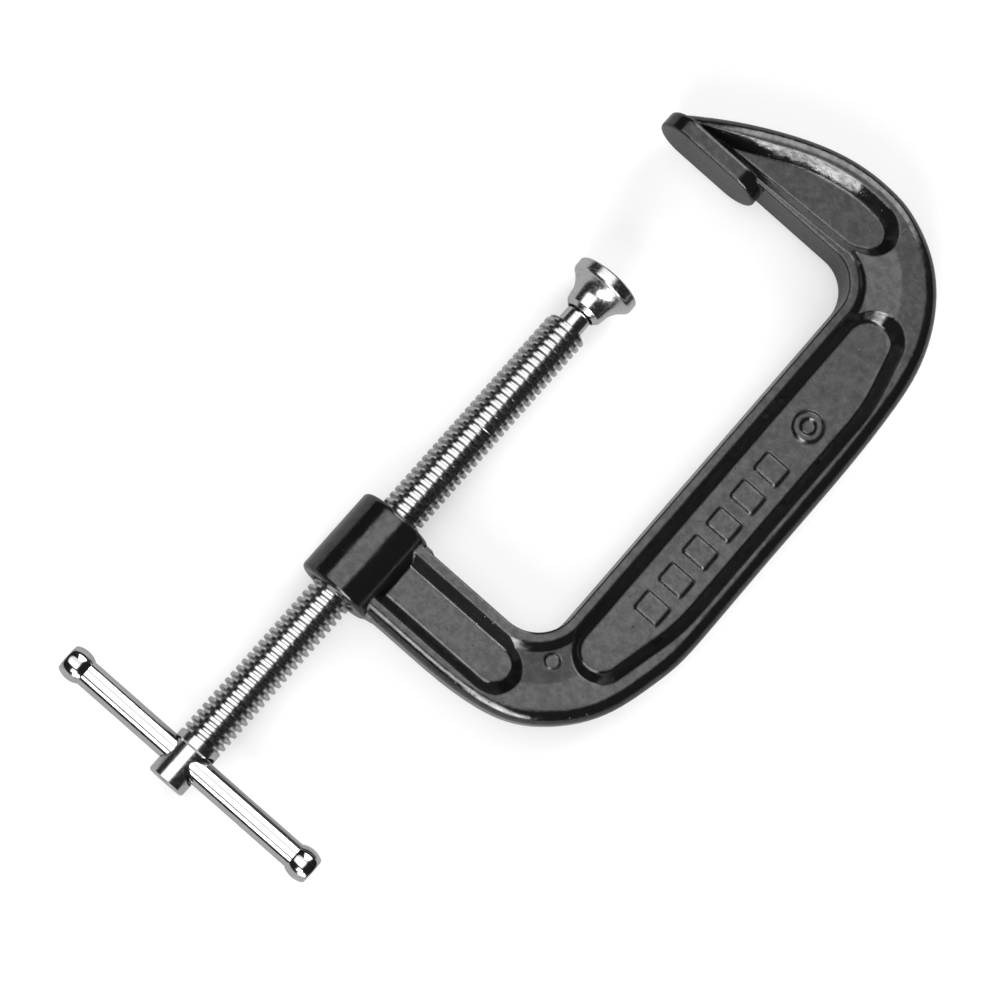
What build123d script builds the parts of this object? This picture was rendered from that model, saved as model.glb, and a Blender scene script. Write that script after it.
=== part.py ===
"""C clamp with a five inch jaw: a cast frame, a threaded screw with a sliding T-bar and a swivel pad.

Millimetres. The origin is the centre of the anvil face, on the screw axis. +Y runs along the
screw axis, from the handle to the anvil, so the anvil face looks along -Y. +X runs from the
screw axis to the spine. +Z is across the clamp, which lies flat on its side, and the clamp is
the same above and below the plane Z = 0.
"""
from build123d import *
import math
import os

os.makedirs("parts", exist_ok=True)

# ---------------------------------------------------------------- driving dimensions
# Frame
JAW_SPAN = 150.2          # anvil face to the near end of the boss
THROAT = 59.8             # screw axis to the inner edge of the spine
FRAME_THICKNESS = 16.0    # across the arms and the spine
SPINE_DEPTH = 35.0        # inner edge to outer edge of the spine
ARM_DEPTH = 26.9          # lower arm, inner edge to outer edge
BOSS_DIAMETER = 25.6
BOSS_LENGTH = 30.4
BOSS_OVERHANG = 2.0       # boss past the inner edge of the lower arm
INNER_CORNER_LOW = 14.0   # radius between lower arm and spine
INNER_CORNER_HIGH = 12.6  # radius between spine and upper arm
OUTER_EDGE_RADIUS = 4.6   # rounding of the outer rim
INNER_EDGE_RADIUS = 0.7   # rounding of the inner rim

# Anvil
ANVIL_LENGTH = 38.3
ANVIL_WIDTH = 19.0
ANVIL_HEIGHT = 4.5        # face to the inner edge of the upper arm
ANVIL_SHIFT = -1.3        # centre of the anvil pad along X

# Recessed panels on both sides of the frame
PANEL_DEPTH = 4.5
SPINE_PANEL = (66.7, 85.3)  # floor of the recess in the spine, along X
PANEL_SLOPE = 3.9         # width of the sloping wall round each panel
PANEL_FLOOR_RADIUS = 1.6  # rounding where the wall meets the floor
RIB_WIDTH = 3.0           # raised rib along the inner edge, past the elbows
ELBOW_DIP = 1.8           # how far the elbow beside the rib lies below it

# Plain raised pattern on the spine panels
PATTERN_HEIGHT = 1.2
PATTERN_BEVEL = 0.7       # sloping sides of the raised marks
PATTERN_BARS = 6
PATTERN_PITCH = 11.6
PATTERN_BAR = (7.6, 9.6)  # along Y, along X
PATTERN_START = -119.0    # first bar, along Y

# Screw thread: 9/16 inch, 10 turns to the inch, right hand
PITCH = 2.54
THREAD_RADIUS = 7.14
THREAD_DEPTH = 1.45
THREAD_CREST = 0.95       # width of the flat on the crest
THREAD_ROOT = 0.55        # width of the flat in the root
BORE_CLEARANCE = 0.2      # between crest and boss bore

# Screw
REST_GAP = 49.2           # anvil face to pad face, as the clamp is left
SCREW_END = 257.2         # anvil face to the handle end of the screw
HEAD_RADIUS = 6.5
HEAD_LENGTH = 12.7
NECK_RADIUS = 4.4
WAIST_RADIUS = 3.0        # behind the ball, inside the pad
NECK_LENGTH = 6.1         # end of the thread to the back of the pad
BALL_RADIUS = 4.7

# Swivel pad
PAD_RADIUS = 11.25
PAD_LENGTH = 14.1
PAD_MOUTH_RADIUS = 4.75
BALL_DEPTH = 8.2          # pad face to the centre of the ball
BALL_CLEARANCE = 0.25

# Retaining ring, a split wire ring behind the ball
RING_RADIUS = 4.55        # centre line of the wire
RING_WIRE_RADIUS = 0.5
RING_DEPTH = 11.6         # pad face to the ring
RING_SPLIT = 2.0

# T-bar
BAR_RADIUS = 4.25
BAR_LENGTH = 98.4
BAR_HOLE_RADIUS = 4.55
BAR_TO_SCREW_END = 9.1    # bar axis to the handle end of the screw
BAR_SHIFT = 2.0           # how far the bar is pushed to the spine side
CAP_RADIUS = 5.35
CAP_LENGTH = 7.4
STUB_RADIUS = 3.0         # end of the bar inside each cap
STUB_LENGTH = 4.5

# Positions along Y that follow
BOSS_NEAR = -JAW_SPAN
BOSS_FAR = BOSS_NEAR - BOSS_LENGTH
ARM_INNER = BOSS_NEAR - BOSS_OVERHANG
ARM_OUTER = ARM_INNER - ARM_DEPTH
SPINE_OUTER = THROAT + SPINE_DEPTH
HALF = FRAME_THICKNESS / 2
FLOOR = HALF - PANEL_DEPTH
PAD_FACE = -REST_GAP
PAD_BACK = PAD_FACE - PAD_LENGTH
THREAD_NEAR = PAD_BACK - NECK_LENGTH
HEAD_FAR = -SCREW_END
THREAD_FAR = HEAD_FAR + HEAD_LENGTH
BALL_Y = PAD_FACE - BALL_DEPTH
BAR_Y = HEAD_FAR + BAR_TO_SCREW_END


def turned(*lines):
    """Solid of revolution about the screw axis from a closed outline of (radius, y) lines."""
    return revolve(make_face(Wire([edge for line in lines for edge in line.edges()])), Axis.Y)


# ---------------------------------------------------------------- frame
def frame_outline():
    """The C in plan: straight arms and spine inside, one long sweep outside."""
    crown = 33.3
    tip, tip_inner = (-17.6, 6.0), (-19.0, ANVIL_HEIGHT)
    heel = Spline(
        (30, ARM_OUTER), (50, ARM_OUTER + 0.8), (67.3, -173.9), (79.4, -164.7), (87.2, -153.8),
        (92.3, -138.0), (SPINE_OUTER, -85),
        tangents=[(1, 0), (0, 1)],
    )
    shoulder = Spline(
        (SPINE_OUTER, -85), (93.9, -22), (91.9, -6.8), (84.0, 12.2), (71.4, 25.4), (58.0, 31.7),
        (45, crown),
        tangents=[(0, 1), (-1, 0)],
    )
    back = Spline((45, crown), (25, 30.0), (7.6, 22.4), tip, tangents=[(-1, 0), (-0.79, -0.61)])
    inner = FilletPolyline(
        (0, ARM_INNER), (THROAT, ARM_INNER), (THROAT, ANVIL_HEIGHT), tip_inner,
        radius=[INNER_CORNER_LOW, INNER_CORNER_HIGH],
    )
    nose = Line(tip_inner, tip)
    foot = Polyline((0, ARM_INNER), (0, ARM_OUTER), (30, ARM_OUTER))
    return make_face(Wire([*inner.edges(), nose, back, shoulder, heel, *foot.edges()]))


def rim_edges(body, far, near):
    """Edges of the top and bottom rim whose middle is between two distances from the window's middle."""
    window = Vector(THROAT / 3, -JAW_SPAN / 2, 0)
    flush, clear_of_tip = 0.01, 1.0
    found = []
    for edge in body.edges():
        level = min(abs(abs((edge @ place).Z) - HALF) for place in (0, 0.5))
        middle = edge @ 0.5
        if level < flush and middle.X > clear_of_tip and near < (middle - window).length <= far:
            found.append(edge)
    return found


def c_shape():
    """The C with its rim rounded, generously outside and lightly inside."""
    body = extrude(Plane.XY.offset(-HALF) * frame_outline(), FRAME_THICKNESS)
    body = fillet(rim_edges(body, 120, 90), OUTER_EDGE_RADIUS)
    return fillet(rim_edges(body, 86, 10), INNER_EDGE_RADIUS)


def lower_panel():
    """Floor of the recess in the lower arm: a slot that runs out of the boss."""
    width = 11.4
    middle = ARM_INNER - 12.6
    low, high = middle - width / 2, middle + width / 2
    start, end = 4, 56.7
    return FilletPolyline(
        (start, low), (end, low), (end, high), (start, high),
        radius=[0.5, 5.6, 5.6, 0.5],
        close=True,
    )


def spine_panel():
    """Floor of the recess in the spine, a long rounded shape that narrows at both ends."""
    inner, outer = SPINE_PANEL
    low, high = -146.3, -2.8
    return FilletPolyline(
        (inner, low), (78.5, low), (outer, -118), (outer, -26), (79.5, high), (inner, high),
        radius=[6.5, 6.0, 60.0, 60.0, 6.5, 7.0],
        close=True,
    )


def upper_panel():
    """Floor of the recess in the upper arm, sharply pointed towards the tip."""
    point, before_point = (1.5, 9.0), (3.37, 9.923)
    side = FilletPolyline(
        point, (49.5, 10.9), (57.6, 15.5), (54.5, 22.9), (42.0, 23.8), (25.0, 20.6), before_point,
        radius=[7.0, 4.5, 6.0, 40.0, 60.0],
    )
    return Wire([*side.edges(), Line(before_point, point)])


def panel_cuts(outline, floor_radius):
    """A recess with sloping walls, as one cutter for each side of the frame."""
    above = 0.1
    floor = make_face(outline)
    rim = offset(floor, PANEL_SLOPE * (1 + above / PANEL_DEPTH), kind=Kind.INTERSECTION)
    cut = loft([Plane.XY.offset(FLOOR) * floor, Plane.XY.offset(HALF + above) * rim], ruled=True)
    if floor_radius:
        cut = fillet(cut.faces().sort_by(Axis.Z)[0].edges(), floor_radius)
    return [cut, mirror(cut, Plane.XY)]


def boss():
    """The round boss that carries the thread, with softened ends."""
    radius = BOSS_DIAMETER / 2
    side = FilletPolyline((0, BOSS_FAR), (radius, BOSS_FAR), (radius, BOSS_NEAR), (0, BOSS_NEAR), radius=1.6)
    return turned(side, Line((0, BOSS_NEAR), (0, BOSS_FAR)))


def boss_bore():
    """The hole for the screw, countersunk at both ends."""
    radius = THREAD_RADIUS + BORE_CLEARANCE
    sink = 1.0
    side = Polyline(
        (0, BOSS_FAR - 1), (radius + sink + 1, BOSS_FAR - 1), (radius, BOSS_FAR + sink),
        (radius, BOSS_NEAR - sink), (radius + sink + 1, BOSS_NEAR + 1), (0, BOSS_NEAR + 1),
        close=True,
    )
    return turned(side)


def anvil():
    """The flat jaw pad cast on the end of the upper arm, with round ends."""
    depth = ANVIL_HEIGHT + 1.6
    block = extrude(Plane.XZ * Pos(ANVIL_SHIFT, 0) * SlotOverall(ANVIL_LENGTH, ANVIL_WIDTH), -depth)
    block = fillet(block.faces().sort_by(Axis.Y)[0].edges(), 0.8)
    return fillet(block.faces().sort_by(Axis.Y)[-1].edges(), 1.4)


def raised_mark(outline, base, height):
    """One mark with bevelled sides, from inside the casting up to height above base."""
    sink = 0.5
    mark = extrude(Plane.XY.offset(base - sink) * outline, height + sink)
    return chamfer(mark.faces().sort_by(Axis.Z)[-1].edges(), PATTERN_BEVEL)


def raised_pattern():
    """Plain raised bars and one ring on the spine panels, and a dot on the lower elbow."""
    middle = sum(SPINE_PANEL) / 2 + 0.8
    ring_y = PATTERN_START + PATTERN_PITCH * PATTERN_BARS + 6.5
    bar = RectangleRounded(PATTERN_BAR[1], PATTERN_BAR[0], 1.2)
    ring = Circle(5.2) - Circle(2.2)
    dot_x, dot_y, dot_radius, dot_height = 64.2, -152.6, 2.8, 1.7
    dot_base = HALF - 2.2
    pieces = [
        raised_mark(Pos(middle, PATTERN_START + PATTERN_PITCH * n) * bar, FLOOR, PATTERN_HEIGHT)
        for n in range(PATTERN_BARS)
    ]
    pieces.append(raised_mark(Pos(middle, ring_y) * ring, FLOOR, PATTERN_HEIGHT))
    pieces.append(raised_mark(Pos(dot_x, dot_y) * Circle(dot_radius), dot_base, dot_height))
    return pieces + [mirror(piece, Plane.XY) for piece in pieces]


def elbow_dips():
    """The two elbows fall away from the rib along the inner edge and rise again outwards."""
    above = 0.2
    low_centre = (THROAT - INNER_CORNER_LOW, ARM_INNER + INNER_CORNER_LOW)
    high_centre = (THROAT - INNER_CORNER_HIGH, ANVIL_HEIGHT - INNER_CORNER_HIGH)
    dips = []
    for centre, inner, foot, swell, first in (
        (low_centre, INNER_CORNER_LOW + RIB_WIDTH, 3.0, 14.0, -90),
        (high_centre, INNER_CORNER_HIGH + RIB_WIDTH, 2.6, 15.0, 0),
    ):
        side = Polyline(
            (inner - above, HALF + above), (inner + foot, HALF - ELBOW_DIP), (inner + swell, HALF + above),
            close=True,
        )
        dip = revolve(Plane.XZ * make_face(side), Axis.Z, 90)
        dips.append(Pos(*centre) * Rot(0, 0, first) * dip)
    return dips + [mirror(dip, Plane.XY) for dip in dips]


def gussets():
    """Small webs that carry the arm's edges into the two ends of the boss."""
    inside_boss, in_arm, half = 6.0, 1.0, 5.0
    near, far = BOSS_NEAR - 0.9, BOSS_FAR + 1.0
    webs = [
        Polyline(
            (inside_boss, ARM_INNER - in_arm), (inside_boss, near), (14.2, near), (18.5, ARM_INNER - in_arm),
            close=True,
        ),
        Polyline(
            (inside_boss, ARM_OUTER + in_arm), (inside_boss, far), (12.6, far), (20.0, ARM_OUTER + in_arm),
            close=True,
        ),
    ]
    return [extrude(Plane.XY.offset(-half) * make_face(web), 2 * half) for web in webs]


def frame():
    """One casting: the C, the boss, the anvil and the recessed panels."""
    body = c_shape()
    body -= panel_cuts(lower_panel(), PANEL_FLOOR_RADIUS)
    body -= panel_cuts(spine_panel(), PANEL_FLOOR_RADIUS)
    body -= panel_cuts(upper_panel(), 0)
    body -= elbow_dips()
    body += raised_pattern()
    body += gussets()
    body += [boss(), anvil()]
    return body - boss_bore()


# ---------------------------------------------------------------- screw
def thread_groove(start, turns):
    """One helical groove about the screw axis, from start towards the pad."""
    beyond = 0.2
    root, crest = THREAD_ROOT / 2, (PITCH - THREAD_CREST) / 2
    slope = (crest - root) / THREAD_DEPTH
    low, high = THREAD_RADIUS - THREAD_DEPTH, THREAD_RADIUS + beyond
    wide = crest + slope * beyond
    profile = make_face(Polyline((low, -root), (low, root), (high, wide), (high, -wide), close=True))
    path = Helix(pitch=PITCH, height=turns * PITCH, radius=THREAD_RADIUS)
    groove = sweep(Plane.XZ * profile, path=path, is_frenet=True)
    return Pos(0, start, 0) * Rot(-90, 0, 0) * groove


def thread_end():
    """What is turned away past the end of the thread, down to the neck, with a chamfer on the thread."""
    chamfer_end = 1.0
    outside = THREAD_RADIUS + chamfer_end
    beyond = THREAD_NEAR + 3.5 * PITCH
    side = Polyline(
        (NECK_RADIUS, THREAD_NEAR), (THREAD_RADIUS - chamfer_end, THREAD_NEAR),
        (outside, THREAD_NEAR - 2 * chamfer_end), (outside, beyond), (NECK_RADIUS, beyond),
        close=True,
    )
    return turned(side)


def screw():
    """Handle head with its cross hole, long thread, neck, waist and ball in one piece."""
    edge = 0.6
    blank_end = THREAD_NEAR + 1.9 * PITCH
    blank = turned(Polyline(
        (0, HEAD_FAR), (HEAD_RADIUS - edge, HEAD_FAR), (HEAD_RADIUS, HEAD_FAR + edge),
        (HEAD_RADIUS, THREAD_FAR), (THREAD_RADIUS, THREAD_FAR + edge), (THREAD_RADIUS, blank_end),
        (0, blank_end),
        close=True,
    ))
    turns = (THREAD_NEAR - THREAD_FAR) / PITCH - 0.2
    body = blank - thread_groove(THREAD_FAR + PITCH, turns)
    body = body - thread_end()
    start = THREAD_NEAR - 2
    ball_back = BALL_Y - math.sqrt(BALL_RADIUS**2 - WAIST_RADIUS**2)
    side = Polyline(
        (0, start), (NECK_RADIUS, start), (NECK_RADIUS, PAD_BACK - 1.1), (NECK_RADIUS - 0.3, PAD_BACK - 0.2),
        (WAIST_RADIUS, PAD_BACK + 1.5), (WAIST_RADIUS, ball_back),
    )
    ball = ThreePointArc((WAIST_RADIUS, ball_back), (BALL_RADIUS, BALL_Y), (0, BALL_Y + BALL_RADIUS))
    body = body + turned(side, ball, Line((0, BALL_Y + BALL_RADIUS), (0, start)))
    return body - cross_hole()


def cross_hole():
    """The hole through the head for the T-bar, with a wide dressed mouth on each side."""
    mouth_radius, mouth_depth, mouth_tilt = 5.5, 4.0, 25
    hole = Pos(0, BAR_Y, 0) * Rot(0, 90, 0) * Cylinder(BAR_HOLE_RADIUS, 4 * HEAD_RADIUS)
    out = HEAD_RADIUS - mouth_depth / 2 + 1.0
    mouth = Pos(0, 0, out) * Cone(BAR_HOLE_RADIUS, mouth_radius, mouth_depth)
    mouths = [Pos(0, BAR_Y, 0) * Rot(0, 90 - mouth_tilt + turn, 0) * mouth for turn in (0, 180)]
    return [hole, *mouths]


# ---------------------------------------------------------------- swivel pad and its ring
def swivel_pad():
    """Flared pad whose hollow collar holds the ball, with a groove for the retaining ring."""
    groove_radius, groove_near, groove_far = 5.7, PAD_FACE - 10.4, PAD_FACE - 12.75
    socket = BALL_RADIUS + BALL_CLEARANCE
    edge, rim = 0.5, PAD_FACE - 2.9
    outside = Polyline(
        (0, PAD_FACE), (PAD_RADIUS - edge, PAD_FACE), (PAD_RADIUS, PAD_FACE - edge), (PAD_RADIUS, rim)
    )
    shoulder = TangentArc((PAD_RADIUS, rim), (10.3, PAD_FACE - 4.5), tangent=(0, -1))
    flare = Spline(
        (10.3, PAD_FACE - 4.5), (8.6, PAD_FACE - 6.3), (7.3, PAD_FACE - 8.6), (6.9, PAD_FACE - 10.6),
        tangents=[(-1, -1), (0, -1)],
    )
    collar = Polyline(
        (6.9, PAD_FACE - 10.6), (6.4, PAD_FACE - 12.7), (5.1, PAD_BACK), (PAD_MOUTH_RADIUS, PAD_BACK)
    )
    inside = Polyline(
        (PAD_MOUTH_RADIUS, PAD_BACK), (PAD_MOUTH_RADIUS, groove_far), (groove_radius, groove_far),
        (groove_radius, groove_near), (socket, groove_near), (socket, BALL_Y),
    )
    seat = CenterArc((0, BALL_Y), socket, 0, 90)
    return turned(outside, shoulder, flare, collar, inside, seat, Line((0, BALL_Y + socket), (0, PAD_FACE)))


def pad_retaining_ring():
    """Split ring of round wire that lies in the pad's groove behind the ball."""
    wire = revolve(Pos(RING_RADIUS, PAD_FACE - RING_DEPTH) * Circle(RING_WIRE_RADIUS), Axis.Y)
    split = Pos(0, PAD_FACE - RING_DEPTH, -RING_RADIUS) * Box(RING_SPLIT, 3, 3)
    return wire - split


# ---------------------------------------------------------------- T-bar
def along_bar(*lines):
    """Solid of revolution about the bar's axis from a closed outline of (x, radius) lines."""
    face = make_face(Wire([edge for line in lines for edge in line.edges()]))
    return Pos(BAR_SHIFT, BAR_Y, 0) * revolve(face, Axis.X)


def t_bar():
    """Round bar with a thinner stub at each end for the caps."""
    end = BAR_LENGTH / 2 - CAP_LENGTH
    half = [(0, BAR_RADIUS), (end, BAR_RADIUS), (end, STUB_RADIUS), (end + STUB_LENGTH, STUB_RADIUS)]
    top = half + [(end + STUB_LENGTH, 0), (-end - STUB_LENGTH, 0)]
    return along_bar(Polyline(*top, *[(-x, radius) for x, radius in reversed(half[1:])], close=True))


def bar_cap(side):
    """Barrel-shaped end cap pressed on one stub; side is 1 towards the spine and -1 away from it."""
    inner = BAR_LENGTH / 2 - CAP_LENGTH
    outer = BAR_LENGTH / 2
    belly = inner + 0.5 * CAP_LENGTH
    corner, corner_radius = outer - 0.9, 4.75
    face_radius = 3.7
    socket = inner + STUB_LENGTH
    shoulder = Line((side * inner, STUB_RADIUS), (side * inner, BAR_RADIUS + 0.2))
    barrel = ThreePointArc(
        (side * inner, BAR_RADIUS + 0.2), (side * belly, CAP_RADIUS), (side * corner, corner_radius)
    )
    rounding = Spline(
        (side * corner, corner_radius), (side * outer, face_radius), tangents=[(side, -0.45), (0, -1)]
    )
    rest = Polyline(
        (side * outer, face_radius), (side * outer, 0), (side * socket, 0), (side * socket, STUB_RADIUS),
        (side * inner, STUB_RADIUS),
    )
    return along_bar(shoulder, barrel, rounding, rest)


PARTS = {
    "frame": frame(),
    "screw": screw(),
    "swivel_pad": swivel_pad(),
    "pad_retaining_ring": pad_retaining_ring(),
    "t_bar": t_bar(),
    "bar_cap_spine_side": bar_cap(1),
    "bar_cap_open_side": bar_cap(-1),
}
for name, solid in PARTS.items():
    export_step(solid, f"parts/{name}.step")
    print(name, "valid" if solid.is_valid else "NOT VALID", round(solid.volume), "mm3")
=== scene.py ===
"""Looks of the C clamp: enamelled cast frame and chrome-plated screw, pad and T-bar, on a pale floor.

Metres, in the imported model's frame: the clamp lies on its side, +Y runs along the screw towards
the anvil, +X towards the spine, +Z up.
"""

import bpy
from mathutils import Matrix, Vector


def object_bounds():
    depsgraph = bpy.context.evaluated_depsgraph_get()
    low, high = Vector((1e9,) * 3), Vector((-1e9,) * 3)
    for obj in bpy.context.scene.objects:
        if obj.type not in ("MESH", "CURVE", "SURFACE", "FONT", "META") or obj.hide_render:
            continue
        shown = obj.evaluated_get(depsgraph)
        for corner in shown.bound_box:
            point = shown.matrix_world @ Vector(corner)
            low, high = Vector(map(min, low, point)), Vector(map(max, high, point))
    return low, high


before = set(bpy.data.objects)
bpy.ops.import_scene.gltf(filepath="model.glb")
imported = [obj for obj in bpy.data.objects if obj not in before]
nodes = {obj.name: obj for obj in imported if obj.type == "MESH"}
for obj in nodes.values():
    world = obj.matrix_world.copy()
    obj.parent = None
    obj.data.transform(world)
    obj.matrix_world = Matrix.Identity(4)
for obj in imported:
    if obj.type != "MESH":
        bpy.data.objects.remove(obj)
cad_low, cad_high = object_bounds()

# ---------------------------------------------------------------- numbers of the looks
# Noise scales are per metre, and bump depths are in metres.
# Enamel of the frame
PAINT_BLACK = (0.0066, 0.0063, 0.0066, 1.0)
PAINT_IOR = 1.62
EDGE_SOFTNESS = 0.0011    # how far the enamel rounds off each edge and corner
EDGE_SAMPLES = 6
# Scale and depth of each unevenness: cast waves, orange peel and fine grain
ENAMEL_RELIEF = ((110.0, 0.00015), (480.0, 0.00003), (1500.0, 0.000006))
NIB_SCALE = 650.0         # of the dust nibs under the enamel
NIB_HEIGHT = 0.00004
CLOUD_SCALE = 170.0       # of the clouds in its roughness
FILM_SCALE = 420.0        # of the film that mottles its gloss

# Chrome of the screw, pad, bar and caps
CHROME = (0.560, 0.560, 0.565, 1.0)
CHROME_WORN = (0.360, 0.360, 0.365, 1.0)
RIPPLE_SCALE = 170.0
RIPPLE_DEPTH = 0.00005
SPECKLE_SCALE = 1300.0
SPECKLE_DEPTH = 0.000004
TURNED_ABOUT_Y = (40.0, 2600.0, 40.0)      # noise scales of the tool marks along X, Y and Z
DRAWN_ALONG_X = (12.0, 1400.0, 1400.0)

# Wire of the retaining ring
STEEL_WIRE = (0.42, 0.42, 0.43, 1.0)
WIRE_MARK_SCALE = 900.0
WIRE_MARK_DEPTH = 0.00001

# Paper floor
FLOOR_SIZE = 12.0
FLOOR_PALE = (0.50, 0.50, 0.50, 1.0)
FLOOR_GLOW = 0.50         # light from under the paper, towards the camera
FIBRE_SCALE = 500.0
FIBRE_DEPTH = 0.00002

# Studio. Directions are given by their height Z and by across = X / Z and along = Y / Z.
OVERHEAD = 2.3            # radiance of the softbox overhead
OVERHEAD_FADE = 0.52      # what is left of it towards the anvil side
DARK = 0.022              # radiance of the dark studio round the lamps
WALLS = 0.60              # radiance of the pale walls low down
BACKDROP = (0.95, 0.95, 0.95, 1.0)
# Lamps beside the clamp: side along Y, edges of across / along, lowest and highest Z, least along
LAMPS = (
    dict(side=-1.0, edges=(-0.07, 0.55), heights=(0.48, 0.90), nearest=0.86, radiance=8.0),
    dict(side=-1.0, edges=(0.20, 0.80), heights=(0.15, 0.50), nearest=0.58, radiance=13.0),
    dict(side=1.0, edges=(-0.40, 0.30), heights=(0.38, 0.90), nearest=0.58, radiance=5.0),
)
LAMP_BLUR_UP = 0.04       # half the width of a lamp's soft edges, in Z
LAMP_BLUR_NEAR = 0.08     # in along
LAMP_BLUR_LEFT = 0.05     # in across / along
LAMP_BLUR_RIGHT = 0.1


# ---------------------------------------------------------------- material helpers
class Tree:
    """Short names for making and linking the nodes of one tree."""

    def __init__(self, tree):
        self.tree = tree
        tree.nodes.clear()

    def add(self, kind, inputs=None, **settings):
        node = self.tree.nodes.new(kind)
        for key, value in settings.items():
            setattr(node, key, value)
        for key, value in (inputs or {}).items():
            socket = node.inputs[key]
            if isinstance(value, bpy.types.NodeSocket):
                self.tree.links.new(value, socket)
            else:
                socket.default_value = value
        return node

    def math(self, operation, a, b=0.0, c=0.0, clamp=False):
        node = self.add("ShaderNodeMath", {0: a, 1: b, 2: c}, operation=operation, use_clamp=clamp)
        return node.outputs[0]

    def ramp(self, value, low, high, to_low=0.0, to_high=1.0):
        """Smooth step of value from low to high, mapped to to_low .. to_high."""
        node = self.add(
            "ShaderNodeMapRange",
            {"Value": value, "From Min": low, "From Max": high, "To Min": to_low, "To Max": to_high},
            interpolation_type="SMOOTHSTEP",
        )
        return node.outputs[0]

    def noise(self, vector, scale, detail=2.0, roughness=0.5):
        node = self.add(
            "ShaderNodeTexNoise",
            {"Vector": vector, "Scale": scale, "Detail": detail, "Roughness": roughness},
        )
        return node.outputs[0]

    def bump(self, height, distance, normal=None):
        inputs = {"Height": height, "Distance": distance, "Strength": 1.0}
        if normal is not None:
            inputs["Normal"] = normal
        return self.add("ShaderNodeBump", inputs).outputs[0]


def new_material(name):
    material = bpy.data.materials.new(name)
    material.use_nodes = True
    return material, Tree(material.node_tree)


def object_position(t, scale=(1.0, 1.0, 1.0)):
    place = t.add("ShaderNodeTexCoord").outputs["Object"]
    return t.add("ShaderNodeMapping", {"Vector": place, "Scale": scale}).outputs[0]


def surface(t, shader):
    t.add("ShaderNodeOutputMaterial", {"Surface": shader})


# ---------------------------------------------------------------- materials
def enamel():
    """Glossy black enamel over a casting: orange peel, a faint cast unevenness and small dust nibs."""
    material, t = new_material("black_enamel")
    place = object_position(t)
    normal = t.add("ShaderNodeBevel", {"Radius": EDGE_SOFTNESS}, samples=EDGE_SAMPLES).outputs[0]
    for scale, depth in ENAMEL_RELIEF:
        normal = t.bump(t.noise(place, scale), depth, normal)
    nibs = t.ramp(t.noise(place, NIB_SCALE, 1.0), 0.72, 0.80)
    normal = t.bump(nibs, NIB_HEIGHT, normal)
    clouds = t.noise(place, CLOUD_SCALE, 5.0, 0.65)
    film = t.noise(place, FILM_SCALE, 4.0, 0.7)
    shade = t.add(
        "ShaderNodeBsdfPrincipled",
        {
            "Base Color": PAINT_BLACK,
            "Roughness": t.ramp(clouds, 0.38, 0.64, 0.07, 0.17),
            "IOR": PAINT_IOR,
            "Specular IOR Level": t.ramp(film, 0.36, 0.64, 0.40, 0.58),
            "Normal": normal,
        },
    )
    surface(t, shade.outputs[0])
    return material


def plated(name, mark_scales, mark_depth, roughness_low, roughness_high):
    """Bright chrome plate over steel, duller in its deeper tool marks. The marks run along the axes
    where mark_scales is low."""
    material, t = new_material(name)
    marks = t.noise(object_position(t, mark_scales), 1.0, 3.0, 0.6)
    place = object_position(t)
    ripple = t.noise(place, RIPPLE_SCALE, 1.0)
    speckle = t.noise(place, SPECKLE_SCALE, 3.0, 0.6)
    normal = t.bump(ripple, RIPPLE_DEPTH)
    normal = t.bump(marks, mark_depth, normal)
    normal = t.bump(speckle, SPECKLE_DEPTH, normal)
    roughness = t.ramp(speckle, 0.35, 0.68, roughness_low, roughness_high)
    tint = t.add(
        "ShaderNodeMix",
        {0: t.ramp(marks, 0.44, 0.30), 6: CHROME, 7: CHROME_WORN},
        data_type="RGBA",
    )
    shade = t.add(
        "ShaderNodeBsdfPrincipled",
        {"Base Color": tint.outputs[2], "Metallic": 1.0, "Roughness": roughness, "Normal": normal},
    )
    surface(t, shade.outputs[0])
    return material


def wire():
    """Drawn spring wire."""
    material, t = new_material("spring_wire")
    drawn = t.noise(object_position(t), WIRE_MARK_SCALE)
    shade = t.add(
        "ShaderNodeBsdfPrincipled",
        {
            "Base Color": STEEL_WIRE,
            "Metallic": 1.0,
            "Roughness": t.ramp(drawn, 0.3, 0.7, 0.22, 0.38),
            "Normal": t.bump(drawn, WIRE_MARK_DEPTH),
        },
    )
    surface(t, shade.outputs[0])
    return material


def floor_paper():
    """Seamless white paper."""
    material, t = new_material("white_paper")
    fibre = t.noise(object_position(t), FIBRE_SCALE, 3.0)
    paper = t.add("ShaderNodeBsdfDiffuse", {"Color": FLOOR_PALE, "Normal": t.bump(fibre, FIBRE_DEPTH)})
    glow = t.add("ShaderNodeEmission", {"Color": (1.0, 1.0, 1.0, 1.0)})
    camera_ray = t.add("ShaderNodeLightPath").outputs["Is Camera Ray"]
    t.tree.links.new(t.math("MULTIPLY", camera_ray, FLOOR_GLOW), glow.inputs["Strength"])
    both = t.add("ShaderNodeAddShader", {0: paper.outputs[0], 1: glow.outputs[0]})
    surface(t, both.outputs[0])
    return material


cap_chrome = plated("cap_chrome", DRAWN_ALONG_X, 0.000004, 0.07, 0.14)
looks = {
    "frame": enamel(),
    "screw": plated("screw_chrome", TURNED_ABOUT_Y, 0.000006, 0.14, 0.26),
    "swivel_pad": plated("pad_chrome", TURNED_ABOUT_Y, 0.000008, 0.16, 0.28),
    "pad_retaining_ring": wire(),
    "t_bar": plated("bar_chrome", DRAWN_ALONG_X, 0.000012, 0.07, 0.14),
    "bar_cap_spine_side": cap_chrome,
    "bar_cap_open_side": cap_chrome,
}
for name, look in looks.items():
    mesh = nodes[name].data
    mesh.materials.clear()
    mesh.materials.append(look)


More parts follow.
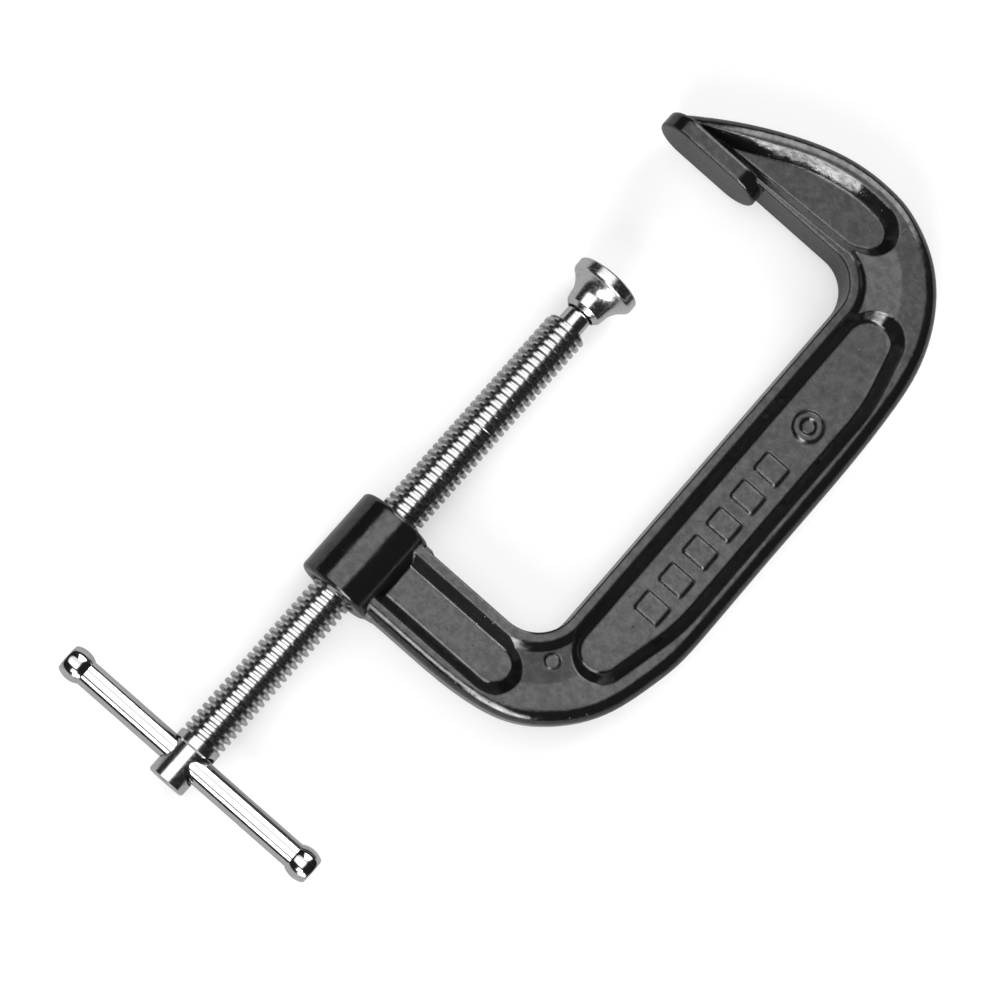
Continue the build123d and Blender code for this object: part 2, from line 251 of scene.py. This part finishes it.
# ---------------------------------------------------------------- stage
def plane(name, size, height):
    """Square in the XY plane, centred on the Z axis at a height."""
    half = size / 2
    mesh = bpy.data.meshes.new(name)
    corners = [(-half, -half, height), (half, -half, height), (half, half, height), (-half, half, height)]
    mesh.from_pydata(corners, [], [(0, 1, 2, 3)])
    made = bpy.data.objects.new(name, mesh)
    bpy.context.scene.collection.objects.link(made)
    return made


floor = plane("floor", FLOOR_SIZE, cad_low.z)
floor.data.materials.append(floor_paper())


def with_lamp(t, total, height, across, along, lamp):
    """Adds one soft-edged lamp to the radiance total."""
    bottom, top = lamp["heights"]
    left_edge, right_edge = lamp["edges"]
    nearest = lamp["nearest"]
    reach = t.math("MULTIPLY", along, lamp["side"])
    ratio = t.math("DIVIDE", across, t.math("MAXIMUM", reach, 0.001))
    edges = (
        t.ramp(height, top + LAMP_BLUR_UP, top - LAMP_BLUR_UP),
        t.ramp(reach, nearest - LAMP_BLUR_NEAR, nearest + LAMP_BLUR_NEAR),
        t.ramp(ratio, left_edge - LAMP_BLUR_LEFT, left_edge + LAMP_BLUR_LEFT),
        t.ramp(ratio, right_edge + LAMP_BLUR_RIGHT, right_edge - LAMP_BLUR_RIGHT),
    )
    lit = t.ramp(height, bottom - LAMP_BLUR_UP, bottom + LAMP_BLUR_UP)
    for edge in edges:
        lit = t.math("MULTIPLY", lit, edge)
    return t.math("MULTIPLY_ADD", lit, lamp["radiance"], total)


def studio_world():
    """A long softbox overhead, lamps beside the clamp, a dark studio and pale walls low down."""
    world = bpy.data.worlds.new("studio")
    world.use_nodes = True
    t = Tree(world.node_tree)
    direction = t.add("ShaderNodeTexCoord").outputs["Generated"]
    axes = t.add("ShaderNodeSeparateXYZ", {"Vector": direction}).outputs
    up = t.math("MAXIMUM", axes["Z"], 0.0001)
    across = t.math("DIVIDE", axes["X"], up)
    along = t.math("DIVIDE", axes["Y"], up)
    width = t.math("MULTIPLY", t.ramp(across, 0.12, 0.30, 1.0, 0.0), t.ramp(across, -1.10, -0.80))
    length = t.math("MULTIPLY", t.ramp(along, -0.62, -0.50), t.ramp(along, 0.62, 0.50))
    length = t.math("MULTIPLY", length, t.ramp(along, 0.16, 0.40, 1.0, OVERHEAD_FADE))
    total = t.math("MULTIPLY_ADD", t.math("MULTIPLY", width, length), OVERHEAD, DARK)
    for lamp in LAMPS:
        total = with_lamp(t, total, axes["Z"], across, along, lamp)
    walls = t.ramp(axes["Z"], 0.12, 0.02)
    total = t.math("MULTIPLY_ADD", walls, WALLS, total)
    studio = t.add("ShaderNodeBackground", {"Color": (1, 1, 1, 1), "Strength": total})
    seen = t.add("ShaderNodeBackground", {"Color": BACKDROP, "Strength": 1.0})
    camera_ray = t.add("ShaderNodeLightPath").outputs["Is Camera Ray"]
    mixed = t.add("ShaderNodeMixShader", {0: camera_ray, 1: studio.outputs[0], 2: seen.outputs[0]})
    t.add("ShaderNodeOutputWorld", {"Surface": mixed.outputs[0]})
    return world


scene = bpy.context.scene
scene.world = studio_world()
scene.view_settings.view_transform = "Standard"

# ---------------------------------------------------------------- camera
CAMERA_PLACE = Vector((0.00988, -0.28651, 0.90642))
CAMERA_RIGHT = Vector((0.74953, 0.65020, 0.12424))
CAMERA_UP = Vector((-0.66188, 0.73910, 0.12505))
CAMERA_LENS = 107.21      # on a 36 mm sensor

camera_data = bpy.data.cameras.new("camera")
camera_data.lens = CAMERA_LENS
camera_data.clip_start = 0.01
camera = bpy.data.objects.new("camera", camera_data)
scene.collection.objects.link(camera)
back = CAMERA_RIGHT.cross(CAMERA_UP).normalized()
right = CAMERA_RIGHT.normalized()
up = back.cross(right)
camera.matrix_world = Matrix.Translation(CAMERA_PLACE) @ Matrix((right, up, back)).transposed().to_4x4()
scene.camera = camera
